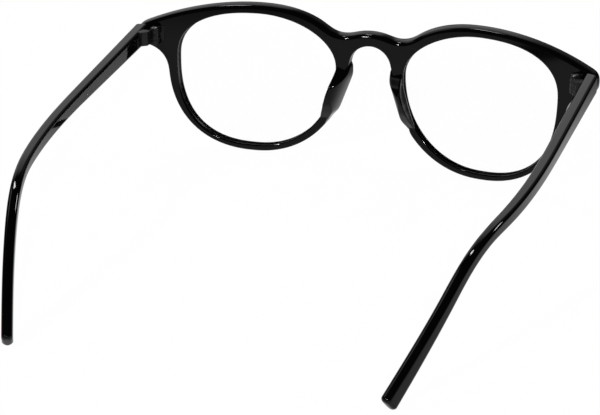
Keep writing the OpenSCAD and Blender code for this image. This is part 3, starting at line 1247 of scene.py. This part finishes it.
@dataclass
class Temple(SidePart):
    """One temple, swept along its bends.

    Attributes:
        front_w: Width of the front.
        length: Length along the bends.
        tip: Radius of the rounded tip.
        base_z: Height of its middle line at the front.
        heights: Height of the section at shares of the length.
        thicknesses: Thickness of the section at shares of the length.
        edge: Radius of the long edges up to the bend.
        tip_edge: Radius of the long edges past the bend.
        gap: Gap between the butt and the front.
        butt_edge: Radius of the butt's edges.
        fall: Fall towards the ear, in degrees.
        toe_in: Toe-in at the hinge, in degrees.
        bend: Start, length and turn of the ear bend.
        bow: Start and turn of the inward bow.
        skewed: Length over which the butt's slant fades.
        shaft: Where the long part starts, and how many rings it has.
        step: Step of the middle line.
        widen: How far before and past the bend the long edges change.
        corner_steps: Steps round a long edge.
    """

    front_w: float = 137.6
    length: float = 142.0
    tip: float = 1.0
    base_z: float = 13.1
    heights: tuple[Pair, ...] = ((0, 5.6), (0.35, 4.1), (0.65, 3.5), (1, 5.4))
    thicknesses: tuple[Pair, ...] = ((0, 3.5), (0.65, 2.9), (1, 2.9))
    edge: float = 0.85
    tip_edge: float = 1.45
    gap: float = 0.15
    butt_edge: float = 0.3
    fall: float = 8.0
    toe_in: float = 0.6
    bend: Triple = (83.5, 29.5, 35.0)
    bow: Pair = (40.0, 24.0)
    skewed: float = 9.0
    shaft: tuple[float, int] = (1.2, 150)
    step: float = 0.25
    widen: float = 10.0
    corner_steps: int = 8

    def axes(self, s: float) -> tuple[Array, Array, Array]:
        """Directions of the section at a distance along the temple.

        Args:
            s: Distance from the back of the front.

        Returns:
            Heading, outward and upward.
        """
        start, long, turn = self.bend
        e = math.radians(-self.fall - turn * ease((s - start) / long))
        start, turn = self.bow
        a = math.radians(-self.toe_in - turn * ease((s - start) / (self.length - start)))
        heading = np.array([math.sin(a) * math.cos(e), math.cos(a) * math.cos(e), math.sin(e)])
        out = np.array([math.cos(a), -math.sin(a), 0.0])
        return heading, out, np.cross(out, heading)

    def middle_line(self, stations: Array) -> Array:
        """Finds points of the middle line.

        Args:
            stations: Their distances along the temple.

        Returns:
            One point for each distance.
        """
        x0 = self.front_w / 2 - self.thicknesses[0][1] / 2
        path = [np.array([x0, self.wrap.y(x0), self.base_z])]
        fine = np.arange(0, self.length + self.step, self.step)
        for a, b in zip(fine, fine[1:]):
            path.append(path[-1] + (b - a) * self.axes((a + b) / 2)[0])
        return picked(stations, fine, np.array(path))

    def build(self, sweep: GeometryTree, material: bpy.types.Material) -> bpy.types.Object:
        """Builds the temple.

        Args:
            sweep: The tree that sweeps the section.
            material: Its material.

        Returns:
            The temple as one closed piece.
        """
        start, count = self.shaft
        butt, end = np.radians([0, 30, 60, 90]), np.radians([15, 30, 45, 60, 75, 90])
        stations = np.concatenate([
            [self.gap],
            self.gap + self.butt_edge * (1 - np.cos(butt)),
            np.linspace(start, self.length - self.tip, count),
            self.length - self.tip * (1 - np.sin(end)),
            [self.length],
        ])
        # The first and last ring shrink to a point, which closes the ends
        gone, shrink = [self.length], self.butt_edge * (1 - np.sin(butt))
        inset = np.concatenate([gone, shrink, np.zeros(count), self.tip * (1 - np.cos(end)), gone])
        middle = self.middle_line(stations)
        rows = {"rounding": np.full(len(stations), self.edge)}
        for name, sizes in (("half_height", self.heights), ("half_thickness", self.thicknesses)):
            half = np.interp(stations / self.length, *np.array(sizes).T) / 2
            rows[name] = np.maximum(half - inset, 0.0)
        fading = np.clip(1 - (stations - self.gap) / self.skewed, 0, 1)
        rows["skew"] = middle[0, 0] / self.wrap.radius * fading
        past = stations - self.bend[0] + self.widen
        rows["past_bend"] = ease(past / (self.bend[1] + 2 * self.widen))
        flip = np.array([self.side.value, 1, 1])
        axes = np.array([self.axes(s) for s in stations]) * flip
        mesh = bpy.data.meshes.new("temple_path")
        mesh.from_pydata((middle * flip).tolist(), [], [])
        for name, row in rows.items():
            mesh.attributes.new(name, "FLOAT", "POINT").data.foreach_set("value", row)
        for k, name in enumerate(("heading", "outward", "upward")):
            made = mesh.attributes.new(name, "FLOAT_VECTOR", "POINT")
            made.data.foreach_set("vector", axes[:, k].ravel())
        piece = linked(f"temple_arm_{self.side.word}", mesh)
        inputs = {"Rings": len(stations), "Corner Steps": self.corner_steps, "Material": material}
        sweep.apply(piece, {**inputs, "Tip Rounding": self.tip_edge - self.edge})
        self.stance.stand(piece.data)
        turn_outward(piece.data, MELT)
        area_normals(piece.data)
        return piece


# Hinges


@dataclass
class Blocks:
    """Upright blocks with broken edges that make up one metal piece.

    Attributes:
        edge: Width of the broken edges.
        work: The mesh so far, in upright millimetres.
        sharp: Angle from which an edge is broken, in degrees.
        rim: How much lower a dome's rim is than its middle, as a share of its height.
        steps: Rings on a dome, as shares of its outline.
    """

    edge: float
    work: bmesh.types.BMesh = field(default_factory=bmesh.new)
    sharp: float = 35.0
    rim: float = 0.67
    steps: Triple = (0.85, 0.6, 0.3)

    def join(self, a: list[Any], b: list[Any]) -> list[bmesh.types.BMFace]:
        """Joins two closed rings of mesh points, equal in length, with quads."""
        quads = zip(a, a[1:] + a[:1], b[1:] + b[:1], b)
        return [self.work.faces.new(quad) for quad in quads]

    def add(self, corners: Array, low: float, high: float, turn: Optional[Matrix] = None) -> None:
        """Adds one block.

        Args:
            corners: Its corners seen from above, counter-clockwise.
            low: Height of its underside.
            high: Height of its top.
            turn: Where it goes, when it doesn't stand upright.
        """
        work = self.work
        under, over = ([work.verts.new((x, y, z)) for x, y in corners.tolist()] for z in (low, high))
        made = [work.faces.new(under[::-1]), work.faces.new(over), *self.join(under, over)]
        if turn is not None:
            bmesh.ops.transform(work, matrix=turn, verts=under + over)
        work.normal_update()
        sharp = math.radians(self.sharp)
        edges = dict.fromkeys(e for f in made for e in f.edges if e.calc_face_angle(0.0) > sharp)
        shape = {"segments": 2, "profile": 0.5, "affect": "EDGES", "clamp_overlap": True}
        bmesh.ops.bevel(work, geom=list(edges), offset=self.edge, **shape)

    def dome(self, outline: Array, middle: Pair, low: float, high: float) -> None:
        """Adds a part of a low dome with upright sides.

        Args:
            outline: Its corners seen from above, counter-clockwise, round the dome's middle.
            middle: The dome's middle.
            low: Height of its underside.
            high: Height of the whole dome.
        """
        centre = outline.mean(axis=0)
        reach = np.linalg.norm(outline, axis=1).max()
        rings = []
        for k, share in enumerate((1.0, 1.0, *self.steps)):
            flat = centre + (outline - centre) * share
            top = high if k else 0.0
            rise = low + top * (1 - self.rim * np.square(flat / reach).sum(axis=1))
            points = np.column_stack([flat + np.array(middle), rise])
            rings.append([self.work.verts.new(p) for p in points.tolist()])
        self.work.faces.new(rings[0][::-1])
        self.work.faces.new(rings[-1])
        for a, b in zip(rings, rings[1:]):
            self.join(a, b)

    def build(self, name: str, part: SidePart) -> bpy.types.Object:
        """Makes the piece.

        Args:
            name: Name of the piece, without the side.
            part: What it was drawn from, on the left.

        Returns:
            The new piece.
        """
        work = self.work
        bmesh.ops.triangulate(work, faces=[f for f in work.faces if len(f.verts) > 4])
        if part.side is Side.RIGHT:
            bmesh.ops.scale(work, vec=(-1, 1, 1), verts=work.verts)
            bmesh.ops.reverse_faces(work, faces=work.faces)
        mesh = bpy.data.meshes.new(name)
        work.to_mesh(mesh)
        work.free()
        part.stance.stand(mesh)
        mesh.update()
        area_normals(mesh)
        return linked(f"{name}_{part.side.word}", mesh)


@dataclass
class Hinge(SidePart):
    """One three-knuckle hinge with its screw.

    Attributes:
        held: The temple that it holds.
        pin: Place of its pin seen from above.
        low: Height of its underside.
        knuckle: Diameter and height of a knuckle.
        play: Clearance between two knuckles.
        leaf: Width, underside, top and standing out of the leaf on the front.
        leaf_in: How deep that leaf sits in the front, and its reach past the knuckles.
        arm: The block on the temple: how far inside the temple's inner face it reaches, and its
            start and end behind the front.
        arm_cut: Cut corner of that block, and how much higher its underside is.
        arm_in: How deep the block, the leaf and the knuckle sit in the temple.
        temple_leaf: Start, length, height and standing out of the leaf in the temple.
        head: Diameter, height and slot width of the screw's head.
        shank: Diameter of the screw's shank.
        edges: Width of the broken edges, of the hinge and of the screw.
        lap: How far two parts of the screw run into each other.
        counts: Points of a knuckle's round end, of a circle of the screw, with its first point
            twice, and of half its head.
    """

    held: Temple
    pin: Pair
    low: float = 10.2
    knuckle: Pair = (2.6, 1.55)
    play: float = 0.05
    leaf: Quad = (3.5, 10.8, 15.1, 0.3)
    leaf_in: Pair = (0.8, 0.4)
    arm: Triple = (2.3, 3.9, 7.4)
    arm_cut: Pair = (1.2, 0.6)
    arm_in: Triple = (0.4, 0.6, 0.1)
    temple_leaf: Quad = (0.8, 8.0, 3.0, 0.3)
    head: Triple = (2.1, 0.45, 0.35)
    shank: float = 1.2
    edges: Pair = (0.1, 0.05)
    lap: float = 0.02
    counts: tuple[int, int, int] = (17, 25, 13)

    @property
    def top(self) -> float:
        """Height of the top of the three knuckles."""
        return self.low + 3 * self.knuckle[1] + 2 * self.play

    @property
    def inner(self) -> float:
        """Distance of the temple's inner face from the middle."""
        return self.held.front_w / 2 - self.held.thicknesses[0][1]

    def _knuckle(self, level: int, way: Pair, blocks: Blocks) -> None:
        """Adds one knuckle with its arm.

        Args:
            level: Its number, counted from below.
            way: Reach of the arm from the pin, along X or Y.
            blocks: The piece that takes it.
        """
        wide, height = self.knuckle
        heading = math.atan2(way[1], way[0])
        turn = arc(heading + RIGHT_ANGLE, heading + 3 * RIGHT_ANGLE, self.counts[0])
        half = np.array(self.pin) + wide / 2 * turn
        base = self.low + level * (height + self.play)
        blocks.add(np.vstack([half, half[-1] + way, half[0] + way]), base, base + height)

    def front(self) -> bpy.types.Object:
        """Builds the leaf on the front and its two knuckles.

        Returns:
            The front's half of the hinge.
        """
        blocks = Blocks(self.edges[0])
        wide, low, high, proud = self.leaf
        deep, past = self.leaf_in
        middle = self.pin[0] + self.knuckle[0] / 2 + past - wide / 2
        tilt = math.asin(middle / self.wrap.radius)
        across = np.array([math.cos(tilt), math.sin(tilt)])
        back = np.array([-math.sin(tilt), math.cos(tilt)])
        place = np.array([middle, self.wrap.y(middle)])
        ends = ((-0.5, -deep), (0.5, -deep), (0.5, proud), (-0.5, proud))
        blocks.add(np.array([place + across * wide * a + back * b for a, b in ends]), low, high)
        reach = self.pin[1] - self.wrap.y(self.pin[0])
        for level in (0, 2):
            self._knuckle(level, (0.0, -reach), blocks)
        return blocks.build("front_hinge_metal", self)

    def temple(self) -> bpy.types.Object:
        """Builds the leaf in the temple, its block and the middle knuckle.

        Returns:
            The temple's half of the hinge.
        """
        blocks = Blocks(self.edges[0])
        deep, leaf_deep, knuckle_deep = self.arm_in
        self._knuckle(1, (self.inner + knuckle_deep - self.pin[0], 0.0), blocks)
        rear = float(self.wrap.y(self.inner))
        x1, x2 = self.inner - self.arm[0], self.inner + deep
        y1, y2 = rear + self.arm[1], rear + self.arm[2]
        cut, lift = self.arm_cut
        box = np.array([(x1, y1), (x2, y1), (x2, y2), (x1 + cut, y2), (x1, y2 - cut)])
        blocks.add(box, self.low + lift, self.top)
        start, long, high, proud = self.temple_leaf
        turn = Matrix.Translation((self.inner, rear, self.held.base_z))
        turn = turn @ Matrix.Rotation(math.radians(self.held.toe_in), 4, "Z")
        turn = turn @ Matrix.Rotation(math.radians(-self.held.fall), 4, "X")
        xs, ys = (-proud, leaf_deep), (start, start + long)
        flat = np.array([(xs[0], ys[0]), (xs[1], ys[0]), (xs[1], ys[1]), (xs[0], ys[1])])
        blocks.add(flat, -high / 2, high / 2, turn)
        return blocks.build("temple_hinge_metal", self)

    def screw(self) -> bpy.types.Object:
        """Builds the screw: a shank, and a head with a slot across.

        Returns:
            The screw.
        """
        blocks = Blocks(self.edges[1])
        wide, high, slot = self.head
        circle = arc(0, 4 * RIGHT_ANGLE, self.counts[1])[:-1]
        blocks.add(circle * self.shank / 2 + np.array(self.pin), self.low, self.top + self.lap)
        blocks.add(circle * wide / 2 + np.array(self.pin), self.top, self.top + high / 2)
        half = RIGHT_ANGLE - math.asin(slot / wide)
        base = self.top + high / 2 - self.lap
        for middle in (RIGHT_ANGLE, -RIGHT_ANGLE):
            part = arc(middle - half, middle + half, self.counts[2]) * wide / 2
            blocks.dome(part, self.pin, base, high / 2 + self.lap)
        return blocks.build("hinge_screw_metal", self)


# Studio


@dataclass(frozen=True)
class Lamp:
    """One soft lamp.

    Attributes:
        name: Name of the lamp.
        place: Where it stands, in metres.
        size: Width and height of its face, in metres.
        power: Power in watts.
        aim: What it points at, in metres.
    """

    name: str
    place: Triple
    size: Pair
    power: float
    aim: Triple = (0.0, 0.0, 0.02)

    def make(self) -> None:
        """Hangs the lamp, out of sight of rays that come through a lens.

        Such a ray meets so small a lamp by chance only, and would leave white specks.
        """
        light = bpy.data.lights.new(self.name, "AREA")
        light.shape = "RECTANGLE"
        light.size, light.size_y = self.size
        light.energy = self.power
        lamp = linked(self.name, light)
        lamp.location = self.place
        way = Vector(self.aim) - Vector(self.place)
        lamp.rotation_euler = way.to_track_quat("-Z", "Y").to_euler()
        lamp.visible_transmission = False


@dataclass(frozen=True)
class Softbox:
    """A soft-edged bright area of the surroundings, as polished faces see it.

    Attributes:
        azimuth: Middle, in degrees from the far side (-Y) towards +X.
        elevation: Middle, in degrees above the floor.
        half_width: Half its width, in degrees.
        half_height: Half its height, in degrees.
        fade: Half the width of its soft edge, in degrees.
        strength: Radiance.
    """

    azimuth: float
    elevation: float
    half_width: float
    half_height: float
    fade: float
    strength: float


class Surroundings(Wiring):
    """Builds a shader tree from nothing for something that isn't a part of the glasses."""

    def __init__(self, tree: bpy.types.NodeTree) -> None:
        """Empties the tree and keeps it."""
        super().__init__(tree)
        tree.nodes.clear()

    def sight(self) -> tuple[Socket, Socket]:
        """Tells what a ray is for.

        Returns:
            One for rays from the eye, also through a lens; and one for rays off a polished face,
            also through a lens.
        """
        rays = self.node("ShaderNodeLightPath").outputs
        bounced = self.math("MINIMUM", rays["Glossy Depth"], 1.0)
        through = rays["Is Transmission Ray"]
        straight = self.math("MULTIPLY", through, self.math("SUBTRACT", 1.0, bounced))
        clear = self.math("MAXIMUM", rays["Is Camera Ray"], straight)
        mirrored = self.math("MULTIPLY", through, bounced)
        return clear, self.math("MAXIMUM", rays["Is Glossy Ray"], mirrored)

    def fade(self, value: Socket, full: float, gone: float, rest: float = 0.0) -> Socket:
        """Fades smoothly as a value grows.

        Args:
            value: The value.
            full: Where the fading starts.
            gone: Where it ends.
            rest: What is left after it.

        Returns:
            One up to the start of the fading, the rest after its end.
        """
        settings = {"interpolation_type": "SMOOTHSTEP"}
        made = self.node("ShaderNodeMapRange", value, full, gone, 1.0, rest, settings=settings)
        return made.outputs[0]

    def window(self, angle: Socket, middle: float, half: float, fade: float) -> Socket:
        """Makes a soft-edged window: one inside it, nought outside.

        Args:
            angle: The angle that is tested, in radians.
            middle: Middle of the window, in degrees.
            half: Half its width, in degrees.
            fade: Half the width of its soft edge, in degrees.

        Returns:
            The window.
        """
        off = self.math("ABSOLUTE", self.math("SUBTRACT", angle, math.radians(middle)))
        return self.fade(off, math.radians(half - fade), math.radians(half + fade))


@dataclass
class Studio:
    """White floor, dark surroundings with softboxes, lamps and camera.

    Attributes:
        floor_r: Radius of the floor, in metres.
        floor_colour: Grey of the floor where it lights the object.
        floor_seen: How much of the floor's plain white the eye sees; the rest is its shadow.
        pool: Where the floor's whiteness starts to fade in the gloss, where it has faded, and
            what is left of it.
        softboxes: Bright areas of the surroundings.
        lamps: The lamps.
        room: Radiance of the room that lights the object evenly.
        dark: Radiance of the surroundings between the softboxes.
        camera_place: Where the camera stands, in metres.
        camera_axes: Its right, up and back directions.
        lens: Its focal length and the width of its sensor, in millimetres.
        clip: Nearest and furthest distance that it sees, in metres.
    """

    floor_r: float = 0.42
    floor_colour: float = 0.8
    floor_seen: float = 0.98
    pool: Triple = (0.1, 0.2, 0.12)
    softboxes: tuple[Softbox, ...] = (
        Softbox(32.0, 35.0, 24.0, 16.0, 7.0, 1.36),
        Softbox(-5.0, 33.0, 22.0, 15.0, 7.0, 0.28),
        Softbox(42.0, 6.0, 18.0, 14.0, 5.0, 0.8),
        Softbox(87.0, 45.0, 15.0, 9.0, 4.0, 2.4),
    )
    lamps: tuple[Lamp, ...] = (
        Lamp("near_lamp", (1.004, 2.424, 1.454), (0.18, 0.18), 55.0),
        Lamp("camera_lamp", (-0.911, 2.572, 1.247), (0.18, 0.18), 55.0),
        Lamp("high_lamp", (0.95, -0.86, 2.711), (0.2, 0.5), 16.0),
        Lamp("far_lamp", (-1.927, -1.617, 1.634), (0.45, 0.3), 24.0),
    )
    room: float = 0.3
    dark: float = 0.016
    camera_place: Triple = (-0.17025997, 0.47371306, 0.24406888)
    camera_axes: tuple[Triple, Triple, Triple] = (
        (-0.9438303, -0.33033345, -0.00801062),
        (0.13039985, -0.39463545, 0.90953765),
        (-0.30361199, 0.85740461, 0.41554433),
    )
    lens: Pair = (125.33, 36.0)
    clip: Pair = (0.01, 20.0)

    def build(self) -> None:
        """Builds the studio."""
        self._floor()
        self._world()
        for lamp in self.lamps:
            lamp.make()
        self._camera()
        bpy.context.scene.view_settings.view_transform = "Standard"

    def _floor(self) -> None:
        """Lays a round pale floor that is seen as plain white, with a trace of shadow."""
        work = bmesh.new()
        bmesh.ops.create_circle(work, cap_ends=True, segments=96, radius=self.floor_r)
        mesh = bpy.data.meshes.new("floor")
        work.to_mesh(mesh)
        work.free()
        floor = linked("floor", mesh)
        mat = bpy.data.materials.new("white_floor")
        mat.use_nodes = True
        make = Surroundings(mat.node_tree)
        matte = make.node("ShaderNodeBsdfDiffuse", Color=(*[self.floor_colour] * 3, 1.0))
        clear, shine = make.sight()
        away = make.vector("LENGTH", make.node("ShaderNodeTexCoord").outputs["Object"])
        gloss = make.math("MULTIPLY", shine, make.fade(away.outputs["Value"], *self.pool))
        white = make.node("ShaderNodeEmission", Strength=make.math("MAXIMUM", clear, gloss))
        seen = make.math("MULTIPLY", make.math("MAXIMUM", clear, shine), self.floor_seen)
        mix = make.node("ShaderNodeMixShader", seen, matte.outputs[0], white.outputs[0])
        make.node("ShaderNodeOutputMaterial", mix.outputs[0])
        mesh.materials.append(mat)

    def _world(self) -> None:
        """Makes the surroundings: white to the eye, even to matt faces, softboxes in the gloss."""
        world = bpy.data.worlds.new("studio")
        bpy.context.scene.world = world
        world.use_nodes = True
        make = Surroundings(world.node_tree)
        way = make.node("ShaderNodeSeparateXYZ", make.node("ShaderNodeTexCoord").outputs["Generated"])
        azimuth = make.math("ARCTAN2", way.outputs["X"], make.math("MULTIPLY", way.outputs["Y"], -1.0))
        elevation = make.math("ARCSINE", way.outputs["Z"])
        glow: Any = self.dark
        for box in self.softboxes:
            across = make.window(azimuth, box.azimuth, box.half_width, box.fade)
            up = make.window(elevation, box.elevation, box.half_height, box.fade)
            lit = make.math("MULTIPLY", make.math("MULTIPLY", across, up), box.strength)
            glow = make.math("ADD", lit, glow)
        clear, shine = make.sight()
        plain = make.math("ADD", make.math("MULTIPLY", clear, 1.0 - self.room), self.room)
        steady = make.math("MULTIPLY", plain, make.math("SUBTRACT", 1.0, shine))
        strength = make.math("ADD", steady, make.math("MULTIPLY", glow, shine))
        sky = make.node("ShaderNodeBackground", Color=(1.0, 1.0, 1.0, 1.0), Strength=strength)
        make.node("ShaderNodeOutputWorld", sky.outputs[0])

    def _camera(self) -> None:
        """Sets up the camera at the photograph's viewing angle."""
        data = bpy.data.cameras.new("camera")
        data.lens, data.sensor_width = self.lens
        data.clip_start, data.clip_end = self.clip
        camera = linked("camera", data)
        turn = Matrix([Vector(a) for a in self.camera_axes]).transposed()
        camera.matrix_world = Matrix.Translation(self.camera_place) @ turn.to_4x4()
        bpy.context.scene.camera = camera


# Assembly


@dataclass
class Glasses:
    """The whole pair of glasses.

    Attributes:
        wrap: The front's wrap.
        pin_x: Distance of a hinge pin from the middle.
        pin_back: Distance of the pin from the back of the front.
        pin_z: Height of the pin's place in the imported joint.
    """

    wrap: Wrap = field(default_factory=Wrap)
    pin_x: float = 62.65
    pin_back: float = 2.6
    pin_z: float = 12.3

    def dress(
        self,
        piece: bpy.types.Object,
        finishes: Sequence[bpy.types.Material],
        body: str,
        slot: str,
        *nodes: str,
    ) -> None:
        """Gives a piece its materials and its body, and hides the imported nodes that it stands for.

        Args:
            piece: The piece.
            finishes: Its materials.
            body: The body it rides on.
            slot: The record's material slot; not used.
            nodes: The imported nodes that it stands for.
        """
        # Clearing sets every face back to the first material, so the front is left alone
        if piece.data.materials:
            piece.data.materials.clear()
        for finish in finishes:
            piece.data.materials.append(finish)
        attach(piece, body)
        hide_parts(*nodes)
        log.info("%s: %d faces, on %s", piece.name, len(piece.data.polygons), body)

    def build(self) -> None:
        """Builds and dresses every piece."""
        joint = next(j for j in frame["joints"] if j["name"] == "left_fold")
        pin_y = float(self.wrap.y(self.pin_x)) + self.pin_back
        stance = Stance.from_pin(joint, (self.pin_x, pin_y, self.pin_z))
        plastic, clear, metal, bright = ([f().make()] for f in (Plastic, Clear, Plating, ScrewPlating))
        outline = Outline.from_node(frame["nodes"]["frame_front"], self.wrap, stance)
        body = Front(self.wrap, stance, outline).build()
        self.dress(body, [*plastic, Wall().make()], "front", "frame_plastic", "frame_front")
        sweep = sweep_tree()
        for side, loop in zip((Side.LEFT, Side.RIGHT), outline.openings):
            w, base = side.word, (self.wrap, stance, side)
            self.dress(Lens(*base, loop).build(), clear, "front", "lens_clear", f"lens_{w}")
            pad = NosePad(*base, outline).build()
            self.dress(pad, plastic, "front", "frame_plastic", f"nose_pad_{w}")
            arm = Temple(*base)
            piece = arm.build(sweep, plastic[0])
            self.dress(piece, plastic, f"{w}_temple", "frame_plastic", f"temple_{w}")
            hinge = Hinge(*base, arm, (self.pin_x, pin_y))
            self.dress(hinge.front(), metal, "front", "hinge_metal", f"front_hinge_{w}")
            self.dress(hinge.temple(), metal, f"{w}_temple", "hinge_metal", f"temple_hinge_{w}")
            self.dress(hinge.screw(), bright, "front", "hinge_metal", f"hinge_screw_{w}")


def main() -> None:
    """Builds the glasses and the studio."""
    logging.basicConfig(level=logging.INFO, format="%(name)s: %(message)s")
    Glasses().build()
    Studio().build()


if __name__ == "__main__":
    main()
